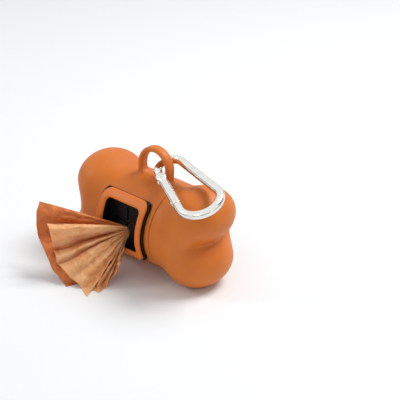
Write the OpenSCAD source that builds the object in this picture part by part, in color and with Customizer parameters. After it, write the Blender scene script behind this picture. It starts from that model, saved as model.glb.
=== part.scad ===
// Bone-shaped pet waste bag dispenser: a moulded housing with a twist-off end, a framed rubber
// slit that the bags are drawn through, a hanging loop and a spring-gate clip.
// The bone lies along X with its removable end at +X, the slit faces -Y, and Z is up.
// The origin is on the ground, midway between the two feet.

/* [Bone housing] */
// Overall length of the bone over its lobed ends
bone_l = 84; // [83:0.5:88]
// Rounding radius of the barrel's ends
barrel_round = 6.5; // [6:0.5:7.5]
// Distance between the centres of the upper and the lower lobe of an end
lobe_pitch = 22.2; // [21:0.2:24]
// Diameter of a lobe seen from the side
lobe_d = 25.4; // [24.4:0.2:27]
// Width of a lobe across the bone
lobe_w = 34; // [32:0.5:38]
// Fillet radius between the lobes and the barrel
lobe_blend = 5; // [3:0.5:6]
// Fillet radius between the two lobes of an end
cleft_blend = 2; // [1:0.5:3]
// Height cut off under each lower lobe to make a small flat foot
foot_cut = 0.3; // [0.2:0.1:0.6]
// Diameter of the moulding gate mark in the middle of the removable end
gate_mark_d = 1.8; // [1:0.2:2.4]

/* [Bag chamber] */
// Inner diameter of the chamber that holds the roll of bags
chamber_d = 33.6; // [33:0.1:34]
// Thickness of the barrel's wall round the chamber
barrel_wall = 3.2; // [2.8:0.1:4]
// Clearance between each end of the roll and the chamber
roll_end_gap = 1.3; // [0.8:0.1:1.8]
// Thickness of the housing beyond each end of the chamber
end_wall = 1; // [0.8:0.1:1.6]
// Inner diameter of the chamber at its narrowed ends
chamber_end_d = 29; // [28.6:0.1:29.6]
// Length of the cone at each end of the chamber
chamber_cone_l = 2.4; // [2:0.1:3]

/* [Twist lock] */
// Distance from the middle of the bone to the parting line
seam_x = 14.3; // [13.5:0.1:16]
// Open gap at the parting line
seam_gap = 0.2; // [0.1:0.05:0.4]
// Length of the neck that enters the removable end
neck_l = 7; // [6.5:0.1:8]
// Thickness of the neck's wall round the chamber
neck_wall = 1.4; // [1.3:0.1:1.6]
// Radial clearance between the neck and its socket
neck_gap = 0.2; // [0.15:0.05:0.3]
// Height of the two lugs on the neck
lug_h = 0.65; // [0.5:0.05:0.7]
// Width of a lug along the neck
lug_w = 2; // [1.6:0.1:2.4]
// Angle that a lug covers
lug_deg = 30; // [24:1:36]
// Angle that the removable end turns between closed and free
cap_turn = 60; // [50:1:70]

/* [Window frame and slit] */
// Position of the window's centre along the bone
window_x = -2.5; // [-4:0.1:-2]
// Height of the window's centre above the barrel's axis
window_up = 1.2; // [0.4:0.1:1.4]
// Length of the orange frame along the bone
frame_l = 27; // [26.6:0.2:27.6]
// Height of the orange frame
frame_h = 28.6; // [28:0.2:29]
// Corner radius of the frame
frame_corner = 4; // [3:0.2:5]
// Length of the opening in the frame
opening_l = 20.4; // [19:0.2:20.6]
// Height of the opening in the frame
opening_h = 21.2; // [20:0.2:21.4]
// Corner radius of the opening
opening_corner = 2.2; // [1.6:0.2:3]
// Thickness of the frame
frame_t = 1.25; // [1:0.05:1.5]
// Thickness of the rubber boot's flange and walls
boot_t = 1.2; // [1:0.1:1.3]
// Width of the rubber edge that shows round the frame
boot_edge = 1; // [0.4:0.1:1.2]
// Distance from the barrel's axis to the inner face of the slit membrane
membrane_y = 14.3; // [14.1:0.1:15]
// Length of each of the two crossed slits
slit_l = 15; // [12:0.5:16]
// Width of the slits
slit_w = 0.8; // [0.5:0.1:1]
// Diameter of the hole that the bag is drawn through
slit_hole_d = 4; // [3.8:0.1:4.6]
// Distance from the crossing down the upright slit to the hole
hole_down = 5; // [3:0.1:5.4]
// Diameter of the frame's fixing pegs
peg_d = 1.6; // [1.2:0.1:1.8]

/* [Hanging loop] */
// Overall width of the loop
loop_w = 19.2; // [18:0.2:20]
// Width of the hole in the loop
loop_hole_w = 13.2; // [13:0.2:14]
// Thickness of the loop across the bone
loop_t = 4.6; // [4:0.1:4.8]
// Height of the loop above the barrel
loop_rise = 16.6; // [16.4:0.1:18]
// Distance from the barrel's top to the bottom of the hole
loop_hole_up = 2.4; // [2:0.1:3]
// Radius of the hole's lower corners
loop_hole_corner = 3; // [2:0.2:3.6]

/* [Spring clip] */
// Diameter of the clip's wire
wire_d = 4; // [3.8:0.1:4.2]
// Bend radius of the clip's narrow end, at the middle of the wire
clip_narrow_r = 6; // [5.8:0.1:6.2]
// Bend radius of the clip's wide end, at the middle of the wire
clip_wide_r = 9.4; // [9:0.1:10]
// Distance between the centres of the two bends
clip_bend_l = 29.5; // [28:0.5:31]
// Diameter of the gate's rod
gate_d = 4.4; // [4.2:0.1:4.6]
// Diameter of the gate's rounded hinge end
knuckle_d = 4.9; // [4.6:0.1:5]
// Diameter of the hinge rivet
rivet_d = 1.6; // [1.4:0.1:1.8]
// Diameter of the hinge rivet's heads
rivet_head_d = 2.3; // [2.1:0.1:3]
// Height of a rivet head
rivet_head_h = 0.35; // [0.2:0.05:0.5]
// Diameter of the latch pin
latch_pin_d = 1.1; // [1:0.1:1.2]
// Thickness of the flattened tongues at both ends of the wire
tongue_t = 1.5; // [1.3:0.1:1.6]
// Half the height of the hinge tongue
tongue_half_h = 1.3; // [1.2:0.1:1.4]
// Distance from the rivet's centre to the hinge tongue's end
tongue_reach = 1.6; // [1.5:0.1:1.8]
// Clearance between a tongue and the slot it sits in
slot_gap = 0.2; // [0.15:0.05:0.25]
// Distance from the straight back round the narrow bend to the shoulder where the wire is flattened
shoulder_back = 1.6; // [1:0.1:2.4]
// Distance along the straight from the narrow bend to the rivet
rivet_at = 4.5; // [4.3:0.1:5]
// Distance along the straight from the narrow bend to the gate's free end
joint_at = 25.5; // [24.5:0.1:26]
// Gap between the gate's free end and the wire's nose
nose_gap = 0.2; // [0.15:0.05:0.3]
// Diameter of the bore in the gate that holds the spring
spring_bore_d = 2; // [1.9:0.05:2.1]
// Diameter of the plunger
plunger_d = 1.7; // [1.6:0.05:1.8]
// Length of the plunger
plunger_l = 3; // [2.5:0.1:3.5]
// Diameter of the spring's wire
spring_wire_d = 0.3; // [0.25:0.01:0.35]
// Outer diameter of the spring
spring_d = 1.7; // [1.6:0.05:1.75]
// Length of the fitted spring
spring_l = 8; // [7:0.2:9]
// Number of turns in the spring
spring_turns = 8; // [6:1:10]

/* [Bags] */
// Diameter of the wound roll of bags
roll_d = 26; // [24:0.5:27]
// Length of the wound roll
roll_l = 59.4; // [58:0.2:60]
// Outer diameter of the roll's cardboard core
core_d = 12.9; // [11:0.1:14]
// Wall thickness of the cardboard core
core_wall = 0.8; // [0.6:0.1:1]
// Radius of the fan that the drawn bag spreads to
bag_r = 33.7; // [30:0.1:35]
// Angle that the drawn bag's fan covers
bag_deg = 94; // [80:1:96]
// Distance from the barrel's axis to the drawn bag's free edge
bag_reach = 45.2; // [42:0.1:46]
// Thickness of the drawn bag's gathered film
bag_t = 1.2; // [1:0.1:1.5]
// Height of the drawn bag's pleats
bag_pleat = 1.1; // [0.5:0.1:1.4]

/* [Hidden] */
$fn = 96;

orange = [0.72, 0.39, 0.18];
frame_orange = [0.83, 0.42, 0.15];
rubber_black = [0.07, 0.07, 0.07];
film_tan = [0.86, 0.58, 0.38];
silver = [0.8, 0.8, 0.82];
card_brown = [0.6, 0.47, 0.33];

eps = 0.01;
seat_gap = 0.03;
pin_fit = 0.02;
hinge_fit = 0.06;

barrel_d = chamber_d + 2 * barrel_wall;
neck_d = chamber_d + 2 * neck_wall;
chamber_l = roll_l + 2 * roll_end_gap;
barrel_l = chamber_l + 2 * end_wall;
barrel_r = barrel_d / 2;
lobe_r = lobe_d / 2;
lobe_x = bone_l / 2 - lobe_r;
axis_z = lobe_pitch / 2 + lobe_r - foot_cut;
barrel_top = axis_z + barrel_r;

// The housing's outer skin: a distance-like field of a rounded barrel and two lobes an end,
// joined by round fillets, and met by rays from a point on the axis inside each end.
skin_in = 3.3;
skin_x = lobe_x - skin_in;
skin_around = 64;
skin_rings = 22;
skin_steps = 18;
skin_far = bone_l / 3;
gate_mark_h = 0.35;

function round_union(k, distances) =
    max(k, min(distances)) - norm([for (d = distances) max(k - d, 0)]);
function capped_barrel(p) =
    let (out = norm([p[1], p[2]]) - barrel_r + barrel_round)
    let (along = abs(p[0]) - barrel_l / 2 + barrel_round)
    min(max(out, along), 0) + norm([max(out, 0), max(along, 0)]) - barrel_round;
function lobe(p, z) =
    let (r = [lobe_r, lobe_w / 2, lobe_r])
    let (q = [for (i = [0 : 2]) ([abs(p[0]) - lobe_x, p[1], p[2] - z][i]) / r[i]])
    let (k0 = norm(q))
    let (k1 = norm([for (i = [0 : 2]) q[i] / r[i]]))
    k0 * (k0 - 1) / max(k1, eps / 100);
function bone(p) =
    let (lobes = round_union(cleft_blend, [lobe(p, lobe_pitch / 2), lobe(p, -lobe_pitch / 2)]))
    round_union(lobe_blend, [capped_barrel(p), lobes]);
function hit(dir, near, far, steps) =
    let (mid = (near + far) / 2)
    steps == 0 ? mid :
    bone([skin_x, 0, 0] + mid * dir) < 0 ? hit(dir, mid, far, steps - 1) : hit(dir, near, mid, steps - 1);
function ring_dir(tilt, turn) = [cos(tilt), sin(tilt) * cos(turn), sin(tilt) * sin(turn)];
function skin_point(tilt, turn) =
    [skin_x, 0, 0] + hit(ring_dir(tilt, turn), 0, skin_far, skin_steps) * ring_dir(tilt, turn);
function barrel_ring(x) =
    [for (j = [0 : skin_around - 1]) let (a = 360 * j / skin_around) [x, barrel_r * cos(a), barrel_r * sin(a)]];
function end_points(x_open) =
    let (last_tilt = atan2(barrel_r, seam_x - skin_x))
    concat(
        [skin_point(0, 0)],
        [for (i = [1 : skin_rings - 1], j = [0 : skin_around - 1])
            skin_point(last_tilt * i / skin_rings, 360 * j / skin_around)],
        x_open < seam_x ? barrel_ring(seam_x) : [],
        barrel_ring(x_open));

// A closed end with its pole at +X, cut square at x_open
module bone_end(x_open) {
    points = end_points(x_open);
    rings = (len(points) - 1) / skin_around;
    pole = [for (j = [0 : skin_around - 1]) [0, 1 + (j + 1) % skin_around, 1 + j]];
    sides = [for (i = [0 : rings - 2], j = [0 : skin_around - 1], half = [0, 1])
        let (a = 1 + i * skin_around + j)
        let (b = 1 + i * skin_around + (j + 1) % skin_around)
        half == 0 ? [a, b, b + skin_around] : [a, b + skin_around, a + skin_around]];
    mouth = [for (j = [0 : skin_around - 1]) len(points) - skin_around + j];
    polyhedron(points, concat(pole, sides, [mouth]), convexity = 6);
}

module on_axis(x = 0) {
    translate([x, 0, axis_z])
        rotate([0, 90, 0])
            children();
}

// Everything below the ground is cut away, which leaves the two flat feet
module below_ground() {
    translate([-bone_l, -bone_l, -bone_l])
        cube([2 * bone_l, 2 * bone_l, bone_l]);
}

// The chamber, as a solid of revolution along the bone
chamber_r = chamber_d / 2;
chamber_end_r = chamber_end_d / 2;
cone_x = chamber_l / 2 - chamber_cone_l;

module chamber_half(x_open) {
    rotate_extrude()
        polygon([[0, x_open], [chamber_r, x_open], [chamber_r, cone_x], [chamber_end_r, chamber_l / 2],
            [0, chamber_l / 2]]);
}

// Twist lock: two lugs on the neck run in grooves inside the removable end
neck_r = neck_d / 2;
socket_r = neck_r + neck_gap;
lug_x = 3;
lug_slack = 0.25;
lug_slack_deg = 3;
lug_start = 90 - lug_deg / 2;

module arc_band(r_in, r_out, x0, x1, from, sweep) {
    rotate([0, 0, from])
        rotate_extrude(angle = sweep)
            translate([r_in, x0])
                square([r_out - r_in, x1 - x0]);
}

module neck() {
    on_axis(seam_x - 1)
        cylinder(r = neck_r, h = neck_l + 1);
    for (turn = [0, 180])
        on_axis(seam_x)
            arc_band(neck_r - lug_h, neck_r + lug_h, lug_x, lug_x + lug_w, turn + lug_start, lug_deg);
}

module lug_grooves() {
    groove_r = neck_r + lug_h + neck_gap;
    x0 = lug_x - lug_slack;
    x1 = lug_x + lug_w + lug_slack;
    for (turn = [0, 180])
        on_axis(seam_x) {
            arc_band(neck_r - lug_h, groove_r, x0, x1, turn + lug_start - cap_turn - lug_slack_deg,
                lug_deg + cap_turn + 2 * lug_slack_deg);
            arc_band(neck_r - lug_h, groove_r, -1, x1, turn + lug_start - cap_turn - lug_slack_deg,
                lug_deg + 2 * lug_slack_deg);
        }
}

// Window: rounded rectangles cut through or wrapped round the barrel on its -Y side
window_z = axis_z + window_up;
boot_r = barrel_r + boot_t;
frame_in_r = boot_r + seat_gap;
frame_out_r = frame_in_r + frame_t;
membrane_t = boot_t;
boot_seat_gap = 0.15;
peg_in = 2;
peg_depth = 1.6;

module rounded_rect(l, h, corner) {
    square([l - 2 * corner, h], center = true);
    square([l, h - 2 * corner], center = true);
    for (x = [-1, 1], y = [-1, 1])
        translate([x * (l / 2 - corner), y * (h / 2 - corner)])
            circle(r = corner);
}

// A prism towards -Y over a rounded rectangle round the window's centre
module window_prism(l, h, corner, y_near, y_far) {
    translate([window_x, -y_near, window_z])
        rotate([90, 0, 0])
            linear_extrude(y_far - y_near)
                rounded_rect(l, h, corner);
}

module tube_wall(r_in, r_out) {
    on_axis(-bone_l / 2)
        difference() {
            cylinder(r = r_out, h = bone_l);
            translate([0, 0, -1])
                cylinder(r = r_in, h = bone_l + 2);
        }
}

module frame_pegs(extra) {
    for (x = [-1, 1], z = [-1, 1]) {
        peg_up = window_up + z * (frame_h / 2 - peg_in);
        peg_y = sqrt(pow(barrel_r, 2) - pow(peg_up, 2)) - peg_depth - extra;
        translate([window_x + x * (frame_l / 2 - peg_in), -peg_y, axis_z + peg_up])
            rotate([90, 0, 0])
                cylinder(d = peg_d + 2 * extra, h = frame_in_r - peg_y);
    }
}

// Room for the boot's flange and the frame where the lobes' fillets reach past the barrel
module boot_seat() {
    intersection() {
        window_prism(frame_l + 2 * (boot_edge + boot_seat_gap), frame_h + 2 * (boot_edge + boot_seat_gap),
            frame_corner + boot_edge, 0, barrel_d);
        tube_wall(barrel_r + eps, barrel_d);
    }
}

// Hanging loop: a flat arch that stands on the barrel, in the plane across Y
loop_r = loop_w / 2;
loop_hole_r = loop_hole_w / 2;
loop_arch_z = barrel_top + loop_rise - loop_r;
loop_hole_z = barrel_top + loop_hole_up;
loop_root = 4;

module loop_outline() {
    difference() {
        union() {
            translate([-loop_r, barrel_top - loop_root])
                square([loop_w, loop_arch_z - barrel_top + loop_root]);
            translate([0, loop_arch_z])
                circle(r = loop_r);
        }
        translate([0, loop_arch_z])
            circle(r = loop_hole_r);
        translate([-loop_hole_r, loop_hole_z + loop_hole_corner])
            square([loop_hole_w, loop_arch_z - loop_hole_z - loop_hole_corner]);
        translate([-loop_hole_r + loop_hole_corner, loop_hole_z])
            square([loop_hole_w - 2 * loop_hole_corner, loop_arch_z - loop_hole_z]);
        for (side = [-1, 1])
            translate([side * (loop_hole_r - loop_hole_corner), loop_hole_z + loop_hole_corner])
                circle(r = loop_hole_corner);
    }
}

module hanging_loop() {
    translate([0, loop_t / 2, 0])
        rotate([90, 0, 0])
            linear_extrude(loop_t)
                loop_outline();
}

module main_body() {
    color(orange)
        difference() {
            union() {
                translate([0, 0, axis_z])
                    mirror([1, 0, 0])
                        bone_end(-seam_x);
                hanging_loop();
                neck();
            }
            on_axis()
                mirror([0, 0, 1])
                    chamber_half(-seam_x - neck_l - 1);
            window_prism(opening_l + 2 * (boot_t + boot_seat_gap), opening_h + 2 * (boot_t + boot_seat_gap),
                opening_corner + boot_t, 0, barrel_d);
            frame_pegs(seat_gap);
            boot_seat();
            below_ground();
        }
}

module end_cap() {
    color(orange)
        difference() {
            union() {
                translate([0, 0, axis_z])
                    bone_end(seam_x + seam_gap);
                on_axis(skin_point(0, 0)[0] - 1)
                    cylinder(d = gate_mark_d, h = 1 + gate_mark_h);
            }
            on_axis()
                chamber_half(seam_x - 1);
            on_axis(seam_x - 1)
                cylinder(r = socket_r, h = neck_l + 1 + seam_gap);
            lug_grooves();
            below_ground();
        }
}

module window_frame() {
    color(frame_orange) {
        difference() {
            intersection() {
                window_prism(frame_l, frame_h, frame_corner, 0, barrel_d);
                tube_wall(frame_in_r, frame_out_r);
            }
            window_prism(opening_l, opening_h, opening_corner, 0, barrel_d + 1);
        }
        intersection() {
            frame_pegs(0);
            on_axis(-bone_l / 2)
                cylinder(r = frame_in_r + eps, h = bone_l);
        }
    }
}

module slit_boot() {
    color(rubber_black)
        difference() {
            union() {
                intersection() {
                    window_prism(frame_l + 2 * boot_edge, frame_h + 2 * boot_edge, frame_corner + boot_edge,
                        0, barrel_d);
                    tube_wall(barrel_r + seat_gap, boot_r);
                }
                intersection() {
                    window_prism(opening_l + 2 * boot_t, opening_h + 2 * boot_t, opening_corner + boot_t,
                        membrane_y, barrel_d);
                    on_axis(-bone_l / 2)
                        cylinder(r = boot_r, h = bone_l);
                }
            }
            window_prism(opening_l, opening_h, opening_corner, membrane_y + membrane_t, barrel_d + 1);
            for (turn = [0, 90])
                translate([window_x, -membrane_y, window_z])
                    rotate([0, turn, 0])
                        cube([slit_l, 3 * membrane_t, slit_w], center = true);
            translate([window_x, 0, window_z - hole_down])
                rotate([90, 0, 0])
                    cylinder(d = slit_hole_d, h = barrel_d);
            frame_pegs(seat_gap);
        }
}

// The roll lies low in the chamber and rests near its ends on the chamber's cones
roll_r = roll_d / 2;
rest_gap = 0.4;
roll_drop = chamber_r - max(roll_l / 2 - cone_x, 0) * (chamber_r - chamber_end_r) / chamber_cone_l
    - roll_r - rest_gap;
core_gap = 0.05;

module roll_tube(d_out, d_in) {
    on_axis(-roll_l / 2)
        translate([roll_drop, 0, 0])
            difference() {
                cylinder(d = d_out, h = roll_l);
                translate([0, 0, -1])
                    cylinder(d = d_in, h = roll_l + 2);
            }
}

module bag_roll() {
    color(film_tan)
        roll_tube(roll_d, core_d + 2 * core_gap);
}

module roll_core() {
    color(card_brown)
        roll_tube(core_d, core_d - 2 * core_wall);
}

// The drawn bag: gathered where it leaves the slit, then a pleated fan that droops to the ground
bag_cols = 26;
bag_rows = 14;
bag_from = 180;
bag_pleats = 3.5;
bag_floor = 0.3;
bag_neck_r = 1.1;
bag_neck_t = 1.3;
bag_tail_in = 0.7;
bag_neck_out = 1.6;
bag_inner_y = membrane_y - bag_tail_in;
bag_gather_y = membrane_y + membrane_t + bag_neck_out;
bag_mid = bag_from + bag_deg / 2;
bag_hub_up = 10.4;
bag_hub = [0, axis_z + bag_hub_up];
bag_gather = [window_x, window_z - hole_down] - bag_neck_r * [cos(bag_mid), sin(bag_mid)];

function bag_spread(i) = max(i - 1, 0) / (bag_rows - 1);
function bag_y(i) = i == 0 ? -bag_inner_y : -bag_gather_y - (bag_reach - bag_gather_y) * bag_spread(i);
function bag_ripple(i, j) =
    bag_pleat * sin(180 * sqrt(bag_spread(i))) * cos(360 * bag_pleats * j / bag_cols);
function bag_point(i, j, side) =
    let (s = bag_spread(i))
    let (angle = bag_from + bag_deg * j / bag_cols)
    let (hub = bag_gather + (bag_hub - bag_gather) * s)
    let (thick = bag_neck_t + (bag_t - bag_neck_t) * min(3 * s, 1))
    let (r = bag_neck_r + (bag_r - bag_neck_r) * s + bag_ripple(i, j) + side * thick / 2)
    [hub[0] + r * cos(angle), bag_y(i), max(hub[1] + r * sin(angle), bag_floor)];

module pulled_bag() {
    row = bag_cols + 1;
    sheet = (bag_rows + 1) * row;
    points = [for (side = [-1, 1], i = [0 : bag_rows], j = [0 : bag_cols]) bag_point(i, j, side)];
    inner = [for (i = [0 : bag_rows - 1], j = [0 : bag_cols - 1]) let (a = i * row + j)
        each [[a, a + 1, a + row + 1], [a, a + row + 1, a + row]]];
    outer = [for (f = inner) [f[2] + sheet, f[1] + sheet, f[0] + sheet]];
    edges = concat(
        [for (j = [0 : bag_cols - 1]) [j + 1, j]],
        [for (i = [0 : bag_rows - 1]) [i * row, (i + 1) * row]],
        [for (j = [0 : bag_cols - 1]) [bag_rows * row + j, bag_rows * row + j + 1]],
        [for (i = [0 : bag_rows - 1]) [(i + 1) * row + bag_cols, i * row + bag_cols]]);
    rims = [for (e = edges) each [[e[0], e[1], e[1] + sheet], [e[0], e[1] + sheet, e[0] + sheet]]];
    color(film_tan)
        polyhedron(points, concat(inner, outer, rims), convexity = 8);
}

// The clip lies tilted on the removable end's upper lobe, its narrow end through the loop's hole.
// In its own frame the wire's middle line is in the XY plane, with the narrow bend at the origin.
clip_past_leg = 0.8;
clip_over_lobe = 3.342;
clip_over_sill = 4.742;
clip_pos = [(loop_r + loop_hole_r) / 2 + clip_past_leg, 0,
    max(axis_z + lobe_pitch / 2 + lobe_r + clip_over_lobe, loop_hole_z + clip_over_sill)];
clip_turn = [22.8, 5.67, -22];
wire_r = wire_d / 2;
clip_slant = asin((clip_wide_r - clip_narrow_r) / clip_bend_l);
straight_l = clip_bend_l * cos(clip_slant);
shoulder_deg = shoulder_back / clip_narrow_r * 180 / PI;
rivet_play = 0.03;
latch_in = 1.4;
latch_at = joint_at - latch_in;
latch_side = -0.3;
nose_reach = 2.6;
nose_low = 1;
nose_high = 1.6;
latch_play = 0.25;
plunger_touch = 0.05;
spring_play = 0.35;
spring_bore_l = 13;

// A straight is a hair thinner than the bends and runs a little way into each, so that they join as one
weld = 0.2;
weld_step = 0.02;
straight_d = wire_d - weld_step;

module place_clip() {
    translate(clip_pos)
        rotate(clip_turn)
            children();
}

// Frame of a straight side: its origin on the narrow bend, X along the wire, Y outwards
module on_straight(side) {
    mirror([0, side < 0 ? 1 : 0, 0])
        rotate([0, 0, clip_slant])
            translate([0, clip_narrow_r, 0])
                children();
}

module rod(d, from, to) {
    translate([from, 0, 0])
        rotate([0, 90, 0])
            cylinder(d = d, h = to - from);
}

module across(d, l) {
    cylinder(d = d, h = l, center = true);
}

module bend(r, from, sweep) {
    rotate([0, 0, from])
        rotate_extrude(angle = sweep)
            translate([r, 0])
                circle(d = wire_d);
}

module tongue(from, to, low, high) {
    translate([from, low, -tongue_t / 2])
        cube([to - from, high - low, tongue_t]);
}

// The flattened wire from the shoulder to the rivet: round the last of the narrow bend, then straight
module hinge_tongue() {
    from = 270 - clip_slant - shoulder_deg - 5;
    rotate([0, 0, from])
        rotate_extrude(angle = shoulder_deg + 5)
            translate([clip_narrow_r - tongue_half_h, -tongue_t / 2])
                square([2 * tongue_half_h, tongue_t]);
    on_straight(-1)
        difference() {
            tongue(-weld, rivet_at + tongue_reach, weld_step - tongue_half_h, tongue_half_h - weld_step);
            translate([rivet_at, 0, 0])
                across(rivet_d + 2 * pin_fit, 2 * wire_d);
        }
}

module carabiner_body() {
    nose_tip = joint_at - nose_reach;
    color(silver)
        place_clip() {
            bend(clip_narrow_r, 90 + clip_slant, 180 - 2 * clip_slant - shoulder_deg);
            hinge_tongue();
            translate([clip_bend_l, 0, 0])
                bend(clip_wide_r, -90 - clip_slant, 180 + 2 * clip_slant);
            on_straight(1)
                rod(straight_d, -weld, straight_l + weld);
            on_straight(-1) {
                rod(straight_d, joint_at + nose_gap, straight_l + weld);
                difference() {
                    tongue(nose_tip, joint_at + nose_gap + eps, -nose_low, nose_high);
                    translate([latch_at, latch_side, 0])
                        across(latch_pin_d + 2 * latch_play, 2 * wire_d);
                    translate([latch_at - latch_pin_d / 2 - latch_play, -wire_d, -wire_d])
                        cube([latch_pin_d + 2 * latch_play, wire_d + latch_side, 2 * wire_d]);
                }
            }
        }
}

module carabiner_gate() {
    slot_w = tongue_t + 2 * slot_gap;
    slot_end = rivet_at + norm([tongue_reach, tongue_half_h]) + slot_gap;
    color(silver)
        place_clip()
            on_straight(-1)
                difference() {
                    union() {
                        rod(gate_d, rivet_at, joint_at);
                        translate([rivet_at, 0, 0])
                            across(knuckle_d, gate_d);
                    }
                    translate([rivet_at - knuckle_d, -knuckle_d, -slot_w / 2])
                        cube([slot_end - rivet_at + knuckle_d, 2 * knuckle_d, slot_w]);
                    translate([joint_at - nose_reach - slot_gap, -gate_d, -slot_w / 2])
                        cube([nose_reach + 1, 2 * gate_d, slot_w]);
                    translate([rivet_at, 0, 0])
                        across(rivet_d + 2 * hinge_fit, 2 * gate_d);
                    translate([latch_at, latch_side, 0])
                        across(latch_pin_d + 2 * pin_fit, 2 * gate_d);
                    rod(spring_bore_d, slot_end - eps, slot_end + spring_bore_l);
                }
}

module gate_rivet() {
    color(silver)
        place_clip()
            on_straight(-1)
                translate([rivet_at, 0, 0]) {
                    across(rivet_d, gate_d + rivet_head_h);
                    for (side = [-1, 1])
                        translate([0, 0, side * (gate_d / 2 + rivet_play + rivet_head_h / 2)])
                            across(rivet_head_d, rivet_head_h);
                }
}

module latch_pin() {
    color(silver)
        place_clip()
            on_straight(-1)
                translate([latch_at, latch_side, 0])
                    across(latch_pin_d, gate_d);
}

plunger_tip = rivet_at + tongue_reach + plunger_touch;

module gate_plunger() {
    color(silver)
        place_clip()
            on_straight(-1) {
                rod(plunger_d, plunger_tip + plunger_d / 2, plunger_tip + plunger_l);
                translate([plunger_tip + plunger_d / 2, 0, 0])
                    sphere(d = plunger_d);
            }
}

// A wound spring: one tube along a helix, with the section turned in the plane through its axis
spring_segments = 14;
spring_sides = 6;
spring_x = plunger_tip + plunger_l + spring_play;
spring_mid_r = (spring_d - spring_wire_d) / 2;

function spring_point(k, m) =
    let (turn = 360 * k / spring_segments)
    let (section = 360 * m / spring_sides)
    let (r = spring_mid_r + spring_wire_d / 2 * cos(section))
    let (x = spring_x + spring_wire_d / 2
        + (spring_l - spring_wire_d) * k / (spring_turns * spring_segments))
    [x + spring_wire_d / 2 * sin(section), r * cos(turn), r * sin(turn)];

module gate_spring() {
    last = spring_turns * spring_segments;
    points = [for (k = [0 : last], m = [0 : spring_sides - 1]) spring_point(k, m)];
    sides = [for (k = [0 : last - 1], m = [0 : spring_sides - 1])
        let (a = k * spring_sides + m)
        let (b = k * spring_sides + (m + 1) % spring_sides)
        each [[a, b, b + spring_sides], [a, b + spring_sides, a + spring_sides]]];
    first_end = [for (m = [0 : spring_sides - 1]) spring_sides - 1 - m];
    last_end = [for (m = [0 : spring_sides - 1]) last * spring_sides + m];
    echo(spring_gap_between_turns = (spring_l - spring_wire_d) / spring_turns - spring_wire_d);
    color(silver)
        place_clip()
            on_straight(-1)
                polyhedron(points, concat(sides, [first_end, last_end]), convexity = 10);
}

main_body();
end_cap();
window_frame();
slit_boot();
bag_roll();
roll_core();
pulled_bag();
carabiner_body();
carabiner_gate();
gate_rivet();
latch_pin();
gate_spring();
gate_plunger();
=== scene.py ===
"""Bone-shaped bag dispenser: the looks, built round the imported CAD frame.

The rigid skins are zero surfaces of distance fields in millimetres. They are made from the same few
sizes as the CAD solids, with the rounded edges and fillets of moulded and bent parts. The drawn bag
is two thin folded films. Every piece rides on the CAD body that it belongs to.
"""

import math
from itertools import product

import bpy
import numpy as np
from mathutils import Matrix, Vector, noise


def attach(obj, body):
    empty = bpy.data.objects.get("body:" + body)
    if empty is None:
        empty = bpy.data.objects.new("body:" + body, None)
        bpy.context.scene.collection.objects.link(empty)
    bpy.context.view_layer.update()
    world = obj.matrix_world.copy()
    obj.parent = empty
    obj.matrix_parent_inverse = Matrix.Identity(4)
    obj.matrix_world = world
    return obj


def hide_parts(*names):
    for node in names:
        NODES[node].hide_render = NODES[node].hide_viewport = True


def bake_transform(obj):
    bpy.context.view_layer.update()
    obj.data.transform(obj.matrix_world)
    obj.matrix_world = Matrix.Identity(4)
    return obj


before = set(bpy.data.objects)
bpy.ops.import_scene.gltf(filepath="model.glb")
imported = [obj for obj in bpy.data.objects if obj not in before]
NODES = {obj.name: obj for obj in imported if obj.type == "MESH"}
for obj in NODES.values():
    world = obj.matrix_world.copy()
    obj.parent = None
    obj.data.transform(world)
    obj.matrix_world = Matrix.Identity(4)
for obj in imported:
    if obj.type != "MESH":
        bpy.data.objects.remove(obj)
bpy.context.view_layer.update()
MM = 0.001

# Bone housing, in millimetres
BARREL_R, BARREL_HALF, BARREL_ROUND = 20.0, 32.0, 6.5
LOBE_PITCH, LOBE_R, LOBE_HALF_W, LOBE_X = 22.2, 12.7, 17.0, 29.3
LOBE_BLEND, CLEFT_BLEND, FOOT_CUT = 5.0, 2.0, 0.3
AXIS_Z = LOBE_PITCH / 2 + LOBE_R - FOOT_CUT
SEAM_X, SEAM_GAP, SEAM_EDGE = 14.3, 0.2, 0.45
CHAMBER_R, CHAMBER_END_R, CHAMBER_HALF, CONE_L = 16.8, 14.5, 31.0, 2.4
NECK_R, NECK_L, NECK_GAP = 18.2, 7.0, 0.2
GATE_MARK_R, GATE_MARK_H, END_X = 0.9, 0.35, 36.62

# Window, frame and rubber boot
WINDOW_X, WINDOW_Z = -2.5, AXIS_Z + 1.2
OPENING = (20.4, 21.2, 2.2)
FRAME = (27.0, 28.6, 4.0)
BOOT_T, BOOT_EDGE, FRAME_T, SEAT_GAP = 1.2, 1.0, 1.25, 0.03
MEMBRANE_Y, FRAME_BEVEL = 14.3, 0.8
SLIT_L, SLIT_W, SLIT_HOLE_R, HOLE_DOWN = 15.0, 0.8, 2.0, 5.0

# Hanging loop
LOOP_R, LOOP_HOLE_R, LOOP_T, LOOP_CORNER = 9.6, 7.05, 5.2, 3.0
LOOP_Z = AXIS_Z + BARREL_R + 15.0 - LOOP_R
LOOP_HOLE_Z = AXIS_Z + BARREL_R + 0.8
LOOP_EDGE, LOOP_FILLET = 1.5, 1.2

# Spring clip, in its own frame: the wire's middle line is in the XY plane
CLIP_OUT, CLIP_OVER_LOBE = 8.9, 3.342
WIRE_R, NARROW_R, WIDE_R, BEND_L = 2.0, 6.0, 9.4, 29.5
GATE_R, KNUCKLE_R, TONGUE_T, SLOT_GAP = 2.2, 2.45, 1.5, 0.2
RIVET_AT, JOINT_AT, LATCH_IN, NOSE_GAP, SHOULDER_BACK = 4.5, 25.5, 1.4, 0.2, 1.6
CLIP_TURN = [math.radians(a) for a in (22.8, 5.67, -22.0)]
CLIP_POS = Vector((CLIP_OUT, 0, AXIS_Z + LOBE_PITCH / 2 + LOBE_R + CLIP_OVER_LOBE))

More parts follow.
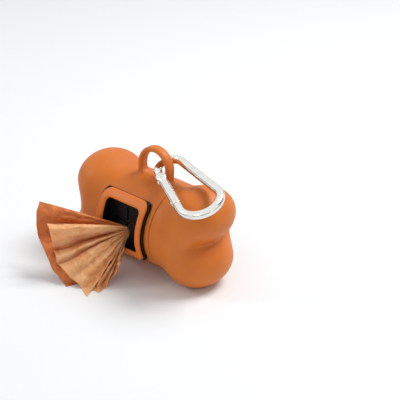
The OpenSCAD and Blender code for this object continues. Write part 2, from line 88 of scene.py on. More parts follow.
# Roll of bags
ROLL_R, ROLL_HALF, CORE_R = 13.0, 29.7, 6.5
ROLL_Z = AXIS_Z - (CHAMBER_R - (ROLL_HALF - 28.6) * (CHAMBER_R - CHAMBER_END_R) / CONE_L - ROLL_R - 0.4)

# Photograph's view
EYE, LOOK_AT = Vector((400.65, -438.87, 318.4)), Vector((-29.37, 66.23, -0.66))
CAMERA_ROLL, LENS, SENSOR = 0.044981, 129.09, 36.0


def linear(r, g, b):
    """A display colour, 0 to 255, as Blender's linear RGBA."""
    return tuple((c / 255 / 12.92 if c < 11 else ((c / 255 + 0.055) / 1.055) ** 2.4) for c in (r, g, b)) + (1,)


# Distance fields, in millimetres


def norm(*parts):
    return np.sqrt(sum(p * p for p in parts))


def round_union(k, *fields):
    low = fields[0]
    for f in fields[1:]:
        low = np.minimum(low, f)
    return np.maximum(k, low) - norm(*[np.maximum(k - f, 0) for f in fields])


def round_cut(k, *fields):
    """What lies inside every field, with its outer edges rounded to radius k."""
    return -round_union(k, *[-f for f in fields])


def rounded_rect(x, z, length, height, corner):
    qx, qz = np.abs(x) - length / 2 + corner, np.abs(z) - height / 2 + corner
    return norm(np.maximum(qx, 0), np.maximum(qz, 0)) + np.minimum(np.maximum(qx, qz), 0) - corner


def capped_barrel(x, r):
    out, along = r - BARREL_R + BARREL_ROUND, np.abs(x) - BARREL_HALF + BARREL_ROUND
    inner = np.minimum(np.maximum(out, along), 0)
    return inner + norm(np.maximum(out, 0), np.maximum(along, 0)) - BARREL_ROUND


def lobe(x, y, z):
    qx, qy, qz = (np.abs(x) - LOBE_X) / LOBE_R, y / LOBE_HALF_W, z / LOBE_R
    k0 = norm(qx, qy, qz)
    k1 = norm(qx / LOBE_R, qy / LOBE_HALF_W, qz / LOBE_R)
    return k0 * (k0 - 1) / np.maximum(k1, 1e-6)


def bone(x, y, z):
    up = z - AXIS_Z
    lobes = round_union(CLEFT_BLEND, lobe(x, y, up - LOBE_PITCH / 2), lobe(x, y, up + LOBE_PITCH / 2))
    return round_union(LOBE_BLEND, capped_barrel(x, norm(y, up)), lobes)


def chamber(x, y, z):
    radius = CHAMBER_R - np.maximum(np.abs(x) - CHAMBER_HALF + CONE_L, 0) * (CHAMBER_R - CHAMBER_END_R) / CONE_L
    return np.maximum(norm(y, z - AXIS_Z) - radius, np.abs(x) - CHAMBER_HALF)


def window(x, y, z, shape, grow):
    length, height, corner = shape
    rect = rounded_rect(x - WINDOW_X, z - WINDOW_Z, length + 2 * grow, height + 2 * grow, corner + grow)
    return np.maximum(rect, y)


def loop(x, y, z):
    above = z > LOOP_Z
    outer = np.where(above, norm(x, z - LOOP_Z), np.abs(x)) - LOOP_R
    qx, qz = np.abs(x) - LOOP_HOLE_R + LOOP_CORNER, LOOP_HOLE_Z + LOOP_CORNER - z
    low_hole = norm(np.maximum(qx, 0), np.maximum(qz, 0)) + np.minimum(np.maximum(qx, qz), 0) - LOOP_CORNER
    hole = np.where(above, norm(x, z - LOOP_Z) - LOOP_HOLE_R, low_hole)
    return round_cut(LOOP_EDGE, outer, -hole, np.abs(y) - LOOP_T / 2)


def main_body(x, y, z):
    r = norm(y, z - AXIS_Z)
    skin = round_cut(SEAM_EDGE, round_union(LOOP_FILLET, bone(x, y, z), loop(x, y, z)), x - SEAM_X)
    neck = round_cut(0.3, r - NECK_R, x - SEAM_X - NECK_L, SEAM_X - 2 - x)
    hole = window(x, y, z, OPENING, BOOT_T + 0.15)
    seat = np.maximum(window(x, y, z, FRAME, BOOT_EDGE + 0.15), BARREL_R + 0.01 - r)
    return round_cut(0.3, np.minimum(skin, neck), -chamber(x, y, z), -hole, -seat, -z)


def end_cap(x, y, z):
    r = norm(y, z - AXIS_Z)
    mark = round_cut(0.2, r - GATE_MARK_R, x - END_X - GATE_MARK_H, END_X - 2 - x)
    skin = round_cut(SEAM_EDGE, round_union(0.3, bone(x, y, z), mark), SEAM_X + SEAM_GAP - x)
    socket = np.maximum(r - NECK_R - NECK_GAP, x - SEAM_X - NECK_L - SEAM_GAP)
    return round_cut(0.3, skin, -chamber(x, y, z), -socket, -z)


def frame_ring(x, y, z):
    """The frame: a wrapped ring with a bevel down to its opening and a small round outer edge."""
    r = norm(y, z - AXIS_Z)
    inner = BARREL_R + BOOT_T + SEAT_GAP
    outline = rounded_rect(x - WINDOW_X, z - WINDOW_Z, *FRAME)
    opening = rounded_rect(x - WINDOW_X, z - WINDOW_Z, *OPENING)
    face = r - inner - FRAME_T
    bevel = (face - opening + FRAME_BEVEL) * math.sqrt(0.5)
    return round_cut(0.3, round_cut(0.45, outline, face, y), -opening, bevel, inner - r)


def boot(x, y, z):
    """The rubber boot: a flange under the frame, walls into the window and the split membrane."""
    r = norm(y, z - AXIS_Z)
    dx, dz = x - WINDOW_X, z - WINDOW_Z
    flange = round_cut(0.25, window(x, y, z, FRAME, BOOT_EDGE), r - BARREL_R - BOOT_T, BARREL_R + SEAT_GAP - r)
    walls = np.maximum(window(x, y, z, OPENING, BOOT_T), r - BARREL_R - BOOT_T)
    drawn = 1.1 * np.exp(-((norm(dx / 2.6, (dz + HOLE_DOWN) / 4.2)) ** 2))
    inner_face, outer_face = -MEMBRANE_Y - drawn, -MEMBRANE_Y - BOOT_T - drawn
    walls = np.maximum(walls, y + MEMBRANE_Y)
    hollow = np.maximum(window(x, y, z, OPENING, 0), y - outer_face)
    solid = np.maximum(round_cut(0.3, round_union(0.5, flange, walls), -hollow), y - inner_face)
    slit = np.minimum(
        np.maximum(np.abs(dx) - SLIT_L / 2, np.abs(dz) - SLIT_W / 2),
        np.maximum(np.abs(dz) - SLIT_L / 2, np.abs(dx) - SLIT_W / 2),
    )
    cut = np.minimum(slit, norm(dx, (dz + HOLE_DOWN) * 0.6) - 0.9 * SLIT_HOLE_R)
    return round_cut(0.25, solid, -cut)


SLANT = math.asin((WIDE_R - NARROW_R) / BEND_L)
STRAIGHT_L = BEND_L * math.cos(SLANT)


def on_straight(x, y, side):
    """Along and outward coordinates of a straight side of the clip."""
    c, s = math.cos(SLANT), math.sin(SLANT)
    v = side * y
    return x * c + v * s, -x * s + v * c - NARROW_R


def bend(x, y, z, r):
    """Distance to a ring of wire round the origin, with its middle line at radius r."""
    return norm(norm(x, y) - r, z) - WIRE_R


def clip_wire(x, y, z):
    """Distance to the bent wire, with the gate's place left open, and the tongues at its two ends."""
    u, v = on_straight(x, y, -1)
    us, vs = on_straight(x, y, 1)
    wide_x = x - BEND_L
    narrow = np.maximum(bend(x, y, z, NARROW_R), np.maximum(u, us))
    uw, uws = u - STRAIGHT_L, us - STRAIGHT_L
    wide = np.maximum(bend(wide_x, y, z, WIDE_R), -np.maximum(uw, uws))
    spine = np.maximum(norm(vs, z) - WIRE_R, np.maximum(-us, us - STRAIGHT_L))
    arc_back = -NARROW_R * np.arctan2(np.maximum(-u, 0), np.maximum(NARROW_R + v, 1e-3))
    s = np.where(u < 0, arc_back, u)
    lead = np.maximum(norm(v, z) - WIRE_R, -u)
    tube = np.minimum(narrow, np.maximum(lead, u - RIVET_AT - 1.6))
    cut_s = -SHOULDER_BACK
    near_gate = (s > -7) & (v > -NARROW_R) & (u > -NARROW_R) & (u < RIVET_AT + 4)
    tongue_end = np.where(u > RIVET_AT, norm(u - RIVET_AT, v) - 1.4, np.abs(v) - 1.4)
    flat = np.where(u < 0, norm(u, v + NARROW_R) - NARROW_R, v)
    tongue = np.maximum(np.where(u > RIVET_AT, tongue_end, np.abs(flat) - 1.4), np.abs(z) - TONGUE_T / 2)
    tongue = np.maximum(tongue, cut_s - 0.3 - s)
    start = np.where(near_gate, np.minimum(round_cut(0.25, tube, s - cut_s), tongue), tube)
    nose = np.maximum(norm(v, z) - WIRE_R, np.maximum(JOINT_AT + NOSE_GAP - u, u - STRAIGHT_L))
    far = round_cut(0.25, norm(v, z) - WIRE_R, JOINT_AT + NOSE_GAP - u, u - STRAIGHT_L - 3)
    far = np.where(u < STRAIGHT_L, far, nose)
    hook = np.maximum(np.abs(z) - TONGUE_T / 2, np.maximum(-v - 1.6, v - 1.0))
    hook = np.maximum(hook, np.maximum(JOINT_AT - 2.6 - u, u - JOINT_AT - 1))
    latch = norm(u - JOINT_AT + LATCH_IN, v + 0.3) - 0.8
    hook = np.maximum(hook, -latch)
    return np.minimum(np.minimum(start, np.minimum(wide, spine)), np.minimum(far, hook))


def clip_gate(x, y, z):
    u, v = on_straight(x, y, -1)
    rod = round_cut(0.35, norm(v, z) - GATE_R, RIVET_AT - u, u - JOINT_AT)
    knuckle = round_cut(0.5, norm(u - RIVET_AT, v) - KNUCKLE_R, np.abs(z) - GATE_R)
    solid = round_union(0.6, rod, knuckle)
    slot_half = TONGUE_T / 2 + SLOT_GAP
    near_slot = np.maximum(np.abs(z) - slot_half, u - RIVET_AT - 2.3)
    far_slot = np.maximum(np.abs(z) - slot_half, JOINT_AT - 2.8 - u)
    bore = np.maximum(norm(v, z) - 1.0, np.abs(u - RIVET_AT - 8.5) - 7)
    pin = norm(u - RIVET_AT, v) - 0.86
    return round_cut(0.2, solid, -near_slot, -far_slot, -pin, -bore)


def headed_pin(at, off, r, head_r, half):
    def field(x, y, z):
        u, v = on_straight(x, y, -1)
        rad = norm(u - at, v - off)
        shaft = np.maximum(rad - r, np.abs(z) - half)
        head = round_cut(0.14, rad - head_r, np.abs(z) - half - 0.12, half - 0.12 - np.abs(z))
        return np.minimum(shaft, head)

    return field


# Meshes


def cell_corners():
    return list(product((0, 1), repeat=3))


def surface_net(field, low, high, step):
    """The zero surface of a field inside a box: quads whose corners are slid onto the surface."""
    axes = [np.arange(a - step, b + 2 * step, step) for a, b in zip(low, high)]
    grid = np.meshgrid(*axes, indexing="ij", sparse=True)
    full = np.broadcast_arrays(*grid)
    d = field(full[0], full[1], full[2])
    inside = d < 0
    n = np.array(d.shape)
    total = sum(
        inside[i : n[0] - 1 + i, j : n[1] - 1 + j, k : n[2] - 1 + k].astype(np.int8) for i, j, k in cell_corners()
    )
    cells = np.argwhere((total > 0) & (total < 8))
    index = np.full(n - 1, -1)
    index[tuple(cells.T)] = np.arange(len(cells))
    value = {c: d[tuple((cells + c).T)] for c in cell_corners()}
    weight, place = np.zeros(len(cells)), np.zeros((len(cells), 3))
    for c in cell_corners():
        for axis in range(3):
            if c[axis]:
                continue
            e = tuple(1 if i == axis else c[i] for i in range(3))
            a, b = value[c], value[e]
            crosses = (a < 0) != (b < 0)
            t = np.where(crosses, a / np.where(crosses, a - b, 1), 0)
            point = np.array(c, float) + t[:, None] * (np.arange(3) == axis)
            place += point * crosses[:, None]
            weight += crosses
    origin = np.array([a[0] for a in axes])
    points = origin + step * (cells + place / weight[:, None])
    for _ in range(5):
        v = field(*points.T)
        h = step * 0.05
        g = np.stack([(field(*(points + h * e).T) - field(*(points - h * e).T)) / (2 * h) for e in np.eye(3)], 1)
        move = -v[:, None] * g / np.maximum((g * g).sum(1), 0.05)[:, None]
        far = np.linalg.norm(move, axis=1, keepdims=True)
        points += move * np.minimum(1, 0.3 * step / np.maximum(far, 1e-9))
    quads = []
    for axis in range(3):
        a, b = (axis + 1) % 3, (axis + 2) % 3
        ahead = [slice(None)] * 3
        ahead[axis] = slice(1, None)
        behind = [slice(None)] * 3
        behind[axis] = slice(None, -1)
        flips = inside[tuple(behind)] != inside[tuple(ahead)]
        edges = np.argwhere(flips)
        edges = edges[(edges[:, a] > 0) & (edges[:, b] > 0) & (edges[:, a] < n[a] - 1) & (edges[:, b] < n[b] - 1)]
        ea, eb = np.eye(3, dtype=int)[a], np.eye(3, dtype=int)[b]
        ring = [index[tuple((edges - o).T)] for o in (ea + eb, eb, 0 * ea, ea)]
        quad = np.stack(ring, 1)
        outward = inside[tuple(edges.T)]
        quads.append(np.where(outward[:, None], quad, quad[:, ::-1]))
    return points, np.concatenate(quads)


def add_mesh(name, points, faces, material, smooth=True):
    mesh = bpy.data.meshes.new(name)
    mesh.from_pydata((np.asarray(points) * MM).tolist(), [], np.asarray(faces).tolist())
    mesh.polygons.foreach_set("use_smooth", [smooth] * len(mesh.polygons))
    mesh.validate()
    mesh.update()
    piece = bpy.data.objects.new(name, mesh)
    bpy.context.scene.collection.objects.link(piece)
    piece.data.materials.append(material)
    return piece


def skin(name, field, low, high, step, material, slot, body, node, place=None):
    """A rigid piece made from its field, in place of its CAD node."""
    points, quads = surface_net(field, low, high, step)
    if place is not None:
        rot = np.array(place.to_3x3())
        points = points @ rot.T + np.array(place.translation)
    piece = add_mesh(name, points, quads, material)
    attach(piece, body)
    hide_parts(node)
    return piece


# Materials


def new_material(name):
    material = bpy.data.materials.new(name)
    material.use_nodes = True
    nodes = material.node_tree.nodes
    return material, nodes, material.node_tree.links, nodes["Principled BSDF"]


def add_node(nodes, kind, **values):
    node = nodes.new(kind)
    for key, value in values.items():
        if key in node.inputs:
            node.inputs[key].default_value = value
        else:
            setattr(node, key, value)
    return node


def noise_of(nodes, links, scale, detail=3.0, rough=0.55, stretch=(1, 1, 1)):
    """Noise in the piece's own coordinates, with scale in bumps a metre."""
    place = nodes.new("ShaderNodeTexCoord")
    mapping = add_node(nodes, "ShaderNodeMapping")
    mapping.inputs["Scale"].default_value = stretch
    tex = add_node(nodes, "ShaderNodeTexNoise", Scale=scale, Detail=detail, Roughness=rough)
    links.new(place.outputs["Object"], mapping.inputs["Vector"])
    links.new(mapping.outputs["Vector"], tex.inputs["Vector"])
    return tex


def ramp_of(nodes, links, source, stops):
    ramp = nodes.new("ShaderNodeValToRGB")
    while len(ramp.color_ramp.elements) < len(stops):
        ramp.color_ramp.elements.new(0.5)
    for element, (at, colour) in zip(ramp.color_ramp.elements, stops):
        element.position, element.color = at, colour
    links.new(source, ramp.inputs["Fac"])
    return ramp


def grey(v):
    return (v, v, v, 1)


def bump_of(nodes, links, source, shader, strength, distance):
    bump = add_node(nodes, "ShaderNodeBump", Strength=strength, Distance=distance)
    links.new(source, bump.inputs["Height"])
    links.new(bump.outputs["Normal"], shader.inputs["Normal"])
    return bump


def moulded_plastic(name, light, dark, rough, grain):
    """Fine spark-eroded grain, a little unevenness of colour and a soft sheen."""
    material, nodes, links, shader = new_material(name)
    drift = noise_of(nodes, links, 60, 3)
    colour = ramp_of(nodes, links, drift.outputs["Fac"], [(0.3, dark), (0.7, light)])
    links.new(colour.outputs["Color"], shader.inputs["Base Color"])
    texture = noise_of(nodes, links, 2600, 2)
    haze = noise_of(nodes, links, 240, 4)
    shine = ramp_of(nodes, links, haze.outputs["Fac"], [(0.3, grey(rough - 0.05)), (0.7, grey(rough + 0.06))])
    links.new(shine.outputs["Color"], shader.inputs["Roughness"])
    bump_of(nodes, links, texture.outputs["Fac"], shader, grain, 0.00006)
    shader.inputs["Specular IOR Level"].default_value = 0.36
    return material


housing = moulded_plastic("HousingPlastic", linear(212, 116, 38), linear(203, 106, 30), 0.46, 0.3)
frame_plastic = moulded_plastic("FramePlastic", linear(224, 120, 36), linear(214, 108, 28), 0.4, 0.22)


def rubber_material():
    material, nodes, links, shader = new_material("BlackRubber")
    dust = noise_of(nodes, links, 420, 4)
    colour = ramp_of(nodes, links, dust.outputs["Fac"], [(0.35, linear(5, 6, 7)), (0.75, linear(13, 14, 15))])
    links.new(colour.outputs["Color"], shader.inputs["Base Color"])
    shine = ramp_of(nodes, links, dust.outputs["Fac"], [(0.3, grey(0.42)), (0.8, grey(0.6))])
    links.new(shine.outputs["Color"], shader.inputs["Roughness"])
    shader.inputs["Specular IOR Level"].default_value = 0.16
    bump_of(nodes, links, noise_of(nodes, links, 1500, 3).outputs["Fac"], shader, 0.3, 0.00006)
    return material


def metal_material(name, tone, rough, stretch):
    """Tumbled and polished aluminium: bright, with faint draw marks."""
    material, nodes, links, shader = new_material(name)
    shader.inputs["Metallic"].default_value = 1.0
    marks = noise_of(nodes, links, 300, 3, 0.5, stretch)
    dull = linear(*[int(c * 0.97) for c in tone])
    colour = ramp_of(nodes, links, marks.outputs["Fac"], [(0.3, dull), (0.7, linear(*tone))])
    links.new(colour.outputs["Color"], shader.inputs["Base Color"])
    shine = ramp_of(nodes, links, marks.outputs["Fac"], [(0.3, grey(rough)), (0.75, grey(rough + 0.05))])
    links.new(shine.outputs["Color"], shader.inputs["Roughness"])
    bump_of(nodes, links, marks.outputs["Fac"], shader, 0.05, 0.00003)
    return material


def film_material(name, light, mid, dark, folded, glow):
    """Thin matt polyethylene film: soft crinkles, some light through it, and painted crease shade: the colour
    darkens towards the folded colour where the fold attribute is high.
    """
    material, nodes, links, shader = new_material(name)
    cloud = noise_of(nodes, links, 150, 5, 0.6)
    colour = ramp_of(nodes, links, cloud.outputs["Fac"], [(0.25, dark), (0.5, mid), (0.72, light)])
    # Painted shade: mixes the colour towards the dark folded colour by the fold attribute, deepest in the pleat
    # valleys.
    crease_shaded = add_node(nodes, "ShaderNodeMix", data_type="RGBA")
    depth = add_node(nodes, "ShaderNodeAttribute", attribute_name="fold")
    links.new(depth.outputs["Fac"], crease_shaded.inputs["Factor"])
    links.new(colour.outputs["Color"], crease_shaded.inputs[6])
    crease_shaded.inputs[7].default_value = folded
    links.new(crease_shaded.outputs[2], shader.inputs["Base Color"])
    shader.inputs["Roughness"].default_value = 0.42
    crinkle = noise_of(nodes, links, 480, 6, 0.62)
    fine = noise_of(nodes, links, 1500, 3, 0.6)
    ridges = add_node(nodes, "ShaderNodeMath", operation="ABSOLUTE")
    centred = add_node(nodes, "ShaderNodeMath", operation="SUBTRACT")
    centred.inputs[1].default_value = 0.5
    links.new(crinkle.outputs["Fac"], centred.inputs[0])
    links.new(centred.outputs[0], ridges.inputs[0])
    both = add_node(nodes, "ShaderNodeMath", operation="MULTIPLY_ADD")
    both.inputs[1].default_value = 0.25
    links.new(fine.outputs["Fac"], both.inputs[0])
    links.new(ridges.outputs[0], both.inputs[2])
    bump = bump_of(nodes, links, both.outputs[0], shader, 0.6, 0.0006)
    through = add_node(nodes, "ShaderNodeBsdfTranslucent")
    links.new(crease_shaded.outputs[2], through.inputs["Color"])
    links.new(bump.outputs["Normal"], through.inputs["Normal"])
    mix = add_node(nodes, "ShaderNodeMixShader")
    mix.inputs["Fac"].default_value = glow
    links.new(shader.outputs["BSDF"], mix.inputs[1])
    links.new(through.outputs["BSDF"], mix.inputs[2])
    links.new(mix.outputs["Shader"], nodes["Material Output"].inputs["Surface"])
    return material


def card_material():
    material, nodes, links, shader = new_material("BrownCard")
    fibre = noise_of(nodes, links, 900, 5, 0.65, (1, 0.25, 1))
    colour = ramp_of(nodes, links, fibre.outputs["Fac"], [(0.3, linear(150, 116, 80)), (0.7, linear(186, 152, 112))])
    links.new(colour.outputs["Color"], shader.inputs["Base Color"])
    shader.inputs["Roughness"].default_value = 0.85
    bump_of(nodes, links, fibre.outputs["Fac"], shader, 0.5, 0.0001)
    return material


rubber = rubber_material()
clip_metal = metal_material("PolishedAluminium", (234, 234, 229), 0.1, (1, 1, 1))
steel = metal_material("DrawnSteelWire", (205, 205, 208), 0.22, (1, 1, 1))
# The two bag layers are one film: the front layer's colours are lightened as painted light, the back layer's
# darkened as painted shade.
lit_film_front = film_material(
    "FilmFront", linear(255, 218, 168), linear(253, 202, 142), linear(240, 166, 98), linear(196, 84, 36), 0.32
)
shaded_film_back = film_material(
    "FilmBack", linear(240, 160, 90), linear(228, 136, 66), linear(210, 112, 48), linear(176, 70, 26), 0.32
)
film_rolled = film_material(
    "FilmRolled", linear(214, 138, 86), linear(202, 122, 70), linear(186, 104, 54), linear(150, 80, 40), 0.1
)
card = card_material()

# Housing, frame and boot
BODY_STEP, FINE_STEP, CLIP_STEP = 0.5, 0.3, 0.22
skin(
    "housing_body", main_body, (-43, -22, -1), (SEAM_X + NECK_L + 0.5, 22, 61), BODY_STEP, housing, "housing",
    "case", "main_body",
)
skin("housing_end", end_cap, (SEAM_X, -22, -1), (43, 22, 48), BODY_STEP, housing, "housing", "cap", "end_cap")
skin(
    "slit_frame", frame_ring, (WINDOW_X - 16, -23.5, AXIS_Z - 16), (WINDOW_X + 16, -14, AXIS_Z + 16), FINE_STEP,
    frame_plastic, "frame", "case", "window_frame",
)
skin(
    "rubber_boot", boot, (WINDOW_X - 17, -22, AXIS_Z - 17), (WINDOW_X + 17, -13.5, AXIS_Z + 17), FINE_STEP, rubber,
    "rubber", "case", "slit_boot",
)

# Clip
clip_place = Matrix.Translation(CLIP_POS) @ (
    Matrix.Rotation(CLIP_TURN[2], 4, "Z")
    @ Matrix.Rotation(CLIP_TURN[1], 4, "Y")
    @ Matrix.Rotation(CLIP_TURN[0], 4, "X")
)
skin(
    "clip_wire", clip_wire, (-8.5, -12, -2.3), (41.5, 12, 2.3), CLIP_STEP, clip_metal, "clip_metal", "clip",
    "carabiner_body", clip_place,
)
skin(
    "clip_gate", clip_gate, (-1, -13, -2.5), (29, -3, 2.5), CLIP_STEP, clip_metal, "clip_metal", "gate",
    "carabiner_gate", clip_place,
)
skin(
    "hinge_rivet", headed_pin(RIVET_AT, 0, 0.8, 1.1, 2.2), (-1, -11, -2.6), (8, -4, 2.6), 0.13, clip_metal,
    "clip_metal", "clip", "gate_rivet", clip_place,
)
skin(
    "latch_pin_ends", headed_pin(JOINT_AT - LATCH_IN, -0.3, 0.55, 0.56, 2.05), (20, -13, -2.6), (28, -5, 2.6),
    0.13, clip_metal, "clip_metal", "gate", "latch_pin", clip_place,
)
for node, material in (("gate_spring", steel), ("gate_plunger", steel), ("roll_core", card)):
    NODES[node].data.materials.clear()
    NODES[node].data.materials.append(material)

# Roll of bags: a wound strip, so its ends show the turns
TURNS, ROLL_AROUND = 26, 96


def wound_roll():
    radii = np.linspace(CORE_R + 0.1, ROLL_R, TURNS)
    profile = []
    for k, r in enumerate(radii):
        step_in = 0.35 * (k % 2) + 0.25 * math.sin(k * 1.9)
        profile.append((r, ROLL_HALF - 0.35 - step_in * 0.5))
    profile[0] = (CORE_R + 0.06, ROLL_HALF - 0.5)
    outer = [(ROLL_R - 0.02, x) for x in np.linspace(ROLL_HALF - 0.9, -ROLL_HALF + 0.9, 40)]
    line = profile + outer + [(r, -x) for r, x in reversed(profile)]
    points, faces = [], []
    for r, x in line:
        for j in range(ROLL_AROUND):
            a = 2 * math.pi * j / ROLL_AROUND
            p = Vector((x * 0.35, 3 * math.cos(a), 3 * math.sin(a)))
            rr = r - (0.12 * (1 + noise.noise(p)) if abs(r - ROLL_R) < 0.1 else 0)
            points.append((x, rr * math.cos(a), ROLL_Z + rr * math.sin(a)))
    rows = len(line)
    for i in range(rows):
        for j in range(ROLL_AROUND):
            k = (j + 1) % ROLL_AROUND
            n = (i + 1) % rows
            faces.append((i * ROLL_AROUND + j, i * ROLL_AROUND + k, n * ROLL_AROUND + k, n * ROLL_AROUND + j))
    piece = add_mesh("wound_roll", points, faces, film_rolled)
    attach(piece, "roll")
    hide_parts("bag_roll")


wound_roll()

# Drawn bag: two layers of film that fan out from the slit. Their free edges are given in a plane that
# faces the viewer, as (across, up, out) from the window.
BAG_AT = Vector((-4.3, -15.5, 23.7))
BAG_ACROSS = Vector((0.6473, 0.7607, -0.0489))
BAG_UP = Vector((-0.3805, 0.3781, 0.8440))
BAG_OUT = Vector((0.6605, -0.5276, 0.5342))
NECK_Y, NECK_TOP, NECK_LOW, NECK_SHARE = -16.0, 23.0, 16.6, 0.07
FLOOR_GAP, DEEPEST_FOLD, FILM_T = 0.2, 2.4, 0.00012


def fold_height(folds, t):
    """Height of a pleated profile at t, given as (t, height) ridges and valleys."""
    for (t0, h0), (t1, h1) in zip(folds, folds[1:]):
        if t <= t1:
            u = (t - t0) / (t1 - t0)
            smooth = u * u * (3 - 2 * u)
            return h0 + (h1 - h0) * (0.45 * u + 0.55 * smooth)
    return folds[-1][1]


def along_line(points, t):
    """Point at share t of a polyline's length."""
    points = [Vector(p) for p in points]
    lengths = [(b - a).length for a, b in zip(points, points[1:])]
    left = t * sum(lengths)
    for a, b, length in zip(points, points[1:], lengths):
        if left <= length:
            return a.lerp(b, left / length)
        left -= length
    return points[-1]


def crumple(p):
    """Creases of crumpled film: ridged noise in four sizes."""
    ridges, size, share = 0.0, 0.8, 1.0
    for _ in range(4):
        ridges += share * (0.28 - abs(noise.noise(p * size)))
        size, share = size * 2.1, share * 0.5
    return ridges


def film(name, edge, folds, depth, crumpled, material, seed, bow, rows=150, cols=230):
    """One layer of the bag: pleated from the gathered neck to its free edge, and crumpled."""
    origin = Vector((seed * 7.3, seed * 3.1, 0))
    ends = [along_line(edge, j / cols) for j in range(cols + 1)]
    points, painted_crease_shade = [], []
    for i in range(rows + 1):
        s = (i / rows) ** 1.15
        for j in range(cols + 1):
            t = j / cols
            a, b, out = ends[j]
            wander = 0.035 * noise.noise(Vector((s * 3.1, t * 4, seed))) * min(1, 3 * s)
            gather = Vector((0.75 * math.sin(2 * math.pi * 8 * t), 0, 0)) * (1 - s) ** 3
            neck = Vector((WINDOW_X, NECK_Y, NECK_TOP + (NECK_LOW - NECK_TOP) * t)) + gather
            end = BAG_AT + BAG_ACROSS * a + BAG_UP * b + BAG_OUT * out
            height = fold_height(folds, min(max(t + wander, 0), 1))
            lift = depth * height * (s**0.75) * (1.25 - 0.6 * s)
            # Painted crease shade: darker colour from the depth of each pleat valley, fading near the neck and at
            # the free edge.
            painted_crease_shade.append(min(max(-height / DEEPEST_FOLD, 0), 1) ** 0.8 * min(1, 6 * s) * (1 - 0.75 * s**3))
            lift += bow * math.sin(math.pi * s)
            lift += 0.35 * math.sin(2 * math.pi * (11 * t + 0.4 * math.sin(5 * t))) * s * (1 - s) * 4 * (1 - t * 0.4)
            p = Vector((s * 9, t * 14, 0)) + origin
            lift += crumpled * crumple(p) * min(1, 2.5 * s)
            shake = crumpled * 0.5 * noise.noise(p * 0.9 + Vector((0, 0, 5))) * min(1, 2 * s)
            q = neck.lerp(end, s) + BAG_OUT * lift + BAG_ACROSS * shake
            if s < NECK_SHARE:
                inward = 1 - s / NECK_SHARE
                q.y += inward * (-MEMBRANE_Y + 0.6 - NECK_Y)
                q.z += inward * 0.45 * (WINDOW_Z - HOLE_DOWN - q.z)
            if q.z < FLOOR_GAP:
                to_eye = (EYE - q).normalized()
                q += to_eye * ((FLOOR_GAP - q.z) / to_eye.z)
            points.append(q)
    row = cols + 1
    faces = [
        (i * row + j, i * row + j + 1, (i + 1) * row + j + 1, (i + 1) * row + j)
        for i in range(rows)
        for j in range(cols)
    ]
    piece = add_mesh(name, points, faces, material)
    # Stores the painted crease shade as the fold attribute.
    piece.data.attributes.new("fold", "FLOAT", "POINT").data.foreach_set("value", painted_crease_shade)
    thick = piece.modifiers.new("Film", "SOLIDIFY")
    thick.thickness = FILM_T
    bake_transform(piece)
    return piece


FRONT_EDGE = [
    (-35.1, -1.1, 1), (-33.9, -6.0, 1), (-32.9, -9.4, 0), (-30.7, -17.7, 0), (-26.5, -23.1, 0), (-21.7, -27.3, 0),
    (-20.3, -28.6, 0), (-16.8, -33.8, 0), (-14.7, -30.7, 0), (-11.9, -32.0, 1), (-9.2, -29.9, 1), (-6.4, -25.7, 3),
    (-2.9, -21.8, 4),
]
FRONT_FOLDS = [
    (0, 0.2), (0.045, 2.2), (0.09, 0.6), (0.14, -0.9), (0.20, -2.4), (0.22, -1.2), (0.27, 0.1), (0.32, -1.5),
    (0.35, -0.4), (0.41, 0.7), (0.47, -0.3), (0.53, 1.5), (0.585, 0.1), (0.64, 2.0), (0.69, -1.3), (0.73, 1.2),
    (0.78, -1.4), (0.84, 1.1), (0.89, -1.7), (0.94, 0.7), (1, -1.2),
]
BACK_EDGE = [
    (-38.5, 9.7, -4), (-39.9, 5.3, -4), (-40.0, -0.2, -5), (-39.2, -5.3, -5), (-35.6, -13.6, -4), (-32.1, -21.9, -3),
    (-26.1, -29.1, -2), (-22.4, -28.0, -2), (-14.0, -27.0, -2), (-6.0, -21.0, 1),
]
BACK_FOLDS = [
    (0, 0.4), (0.05, 1.0), (0.12, 0.1), (0.19, -1.0), (0.25, -2.2), (0.30, -0.6), (0.36, 0.8), (0.46, -0.5),
    (0.56, 0.7),
    (0.68, -0.8), (0.8, 0), (1, 0),
]
front = film("bag_front", FRONT_EDGE, FRONT_FOLDS, 2.3, 1.25, lit_film_front, 1, 2.6)
film("bag_back", BACK_EDGE, BACK_FOLDS, 1.7, 0.9, shaded_film_back, 2, 0.4, rows=110, cols=170)
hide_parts("pulled_bag")

# Camera, floor and light


def add_camera():
    forward = (LOOK_AT - EYE).normalized()
    right = forward.cross(Vector((0, 0, 1))).normalized()
    up = right.cross(forward)
    c, s = math.cos(CAMERA_ROLL), math.sin(CAMERA_ROLL)
    right, up = right * c + up * s, up * c - right * s
    data = bpy.data.cameras.new("View")
    data.lens, data.sensor_width, data.clip_end = LENS, SENSOR, 20
    camera = bpy.data.objects.new("View", data)
    camera.matrix_world = Matrix.Translation(EYE * MM) @ Matrix((right, up, -forward)).transposed().to_4x4()
    bpy.context.scene.collection.objects.link(camera)
    bpy.context.scene.camera = camera


def seen_mix(nodes, links, plain, seen):
    """Mixes two shaders: plain for light on the object, seen for camera, glossy and transmission rays."""
    path = nodes.new("ShaderNodeLightPath")
    either = add_node(nodes, "ShaderNodeMath", operation="MAXIMUM")
    any_of = add_node(nodes, "ShaderNodeMath", operation="MAXIMUM")
    links.new(path.outputs["Is Camera Ray"], either.inputs[0])
    links.new(path.outputs["Is Glossy Ray"], either.inputs[1])
    links.new(either.outputs[0], any_of.inputs[0])
    links.new(path.outputs["Is Transmission Ray"], any_of.inputs[1])
    mix = nodes.new("ShaderNodeMixShader")
    links.new(any_of.outputs[0], mix.inputs["Fac"])
    links.new(plain.outputs[0], mix.inputs[1])
    links.new(seen.outputs[0], mix.inputs[2])
    return mix


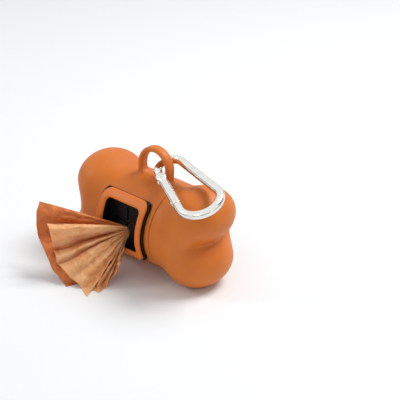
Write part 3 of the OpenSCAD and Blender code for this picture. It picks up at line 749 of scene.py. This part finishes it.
def add_world():
    world = bpy.data.worlds.new("Studio")
    bpy.context.scene.world = world
    world.use_nodes = True
    nodes, links = world.node_tree.nodes, world.node_tree.links
    plain = nodes["Background"]
    plain.inputs["Color"].default_value, plain.inputs["Strength"].default_value = grey(1.0), 0.5
    seen = add_node(nodes, "ShaderNodeBackground", Strength=1.0)
    mix = seen_mix(nodes, links, plain, seen)
    seen.inputs["Color"].default_value = grey(1.0)
    links.new(mix.outputs[0], nodes["World Output"].inputs["Surface"])


def add_floor():
    size = 3.0
    mesh = bpy.data.meshes.new("Floor")
    corners = [(-size, -size, 0), (size, -size, 0), (size, size, 0), (-size, size, 0)]
    mesh.from_pydata(corners, [], [(0, 1, 2, 3)])
    floor = bpy.data.objects.new("Floor", mesh)
    bpy.context.scene.collection.objects.link(floor)
    material, nodes, links, shader = new_material("PaleFloor")
    shader.inputs["Base Color"].default_value = (0.86, 0.89, 0.905, 1)
    shader.inputs["Roughness"].default_value = 0.6
    shader.inputs["Specular IOR Level"].default_value = 0.2
    floor.data.materials.append(material)


def add_card(name, points, shade):
    """A grey card of the studio, which only reflections show."""
    mesh = bpy.data.meshes.new(name)
    mesh.from_pydata(points, [], [tuple(range(len(points)))])
    card_piece = bpy.data.objects.new(name, mesh)
    bpy.context.scene.collection.objects.link(card_piece)
    material, nodes, links, shader = new_material(name + "Shade")
    shader.inputs["Base Color"].default_value = grey(0)
    shader.inputs["Roughness"].default_value = 0.9
    shader.inputs["Emission Color"].default_value = grey(shade)
    shader.inputs["Emission Strength"].default_value = 1.0
    card_piece.data.materials.append(material)
    card_piece.visible_camera = card_piece.visible_diffuse = False
    card_piece.visible_shadow = card_piece.visible_transmission = False


def add_area(name, place, aim, size, power, tint=(1, 1, 1)):
    data = bpy.data.lights.new(name, "AREA")
    data.shape, data.size, data.energy, data.color = "DISK", size, power, tint
    light = bpy.data.objects.new(name, data)
    light.location = place
    direction = Vector(aim) - Vector(place)
    light.rotation_euler = direction.to_track_quat("-Z", "Y").to_euler()
    bpy.context.scene.collection.objects.link(light)


add_camera()
add_world()
add_floor()
# A low ring of dark cards, with four gaps, which draws the thin dark lines along the clip's wire
RING_R, RING_LOW, RING_HIGH, RING_CARDS, RING_SHADE = 0.8, 0.03, 0.15, 24, 0.12
for k in range(RING_CARDS):
    if k % 6 != 5:
        a, b = (2 * math.pi * j / RING_CARDS for j in (k, k + 0.96))
        foot = [(RING_R * math.cos(a), RING_R * math.sin(a)), (RING_R * math.cos(b), RING_R * math.sin(b))]
        corners = [(*foot[0], RING_LOW), (*foot[1], RING_LOW), (*foot[1], RING_HIGH), (*foot[0], RING_HIGH)]
        add_card(f"Card{k}", corners, RING_SHADE)
add_card("CardHigh", [(0.3, 0.5, 0.2), (0.55, 0.2, 0.2), (0.4, 0.15, 0.5), (0.15, 0.45, 0.5)], 0.3)
add_area("Key", (0.2, 0.36, 0.7), (0, 0, 0.02), 0.4, 4.6)
add_area("Side", (-0.55, -0.45, 0.5), (0, -0.02, 0.02), 0.2, 1.0)
add_area("Front", (0.25, -0.85, 0.4), (0, -0.02, 0.02), 0.4, 0.5)
bpy.context.scene.view_settings.view_transform = "Standard"
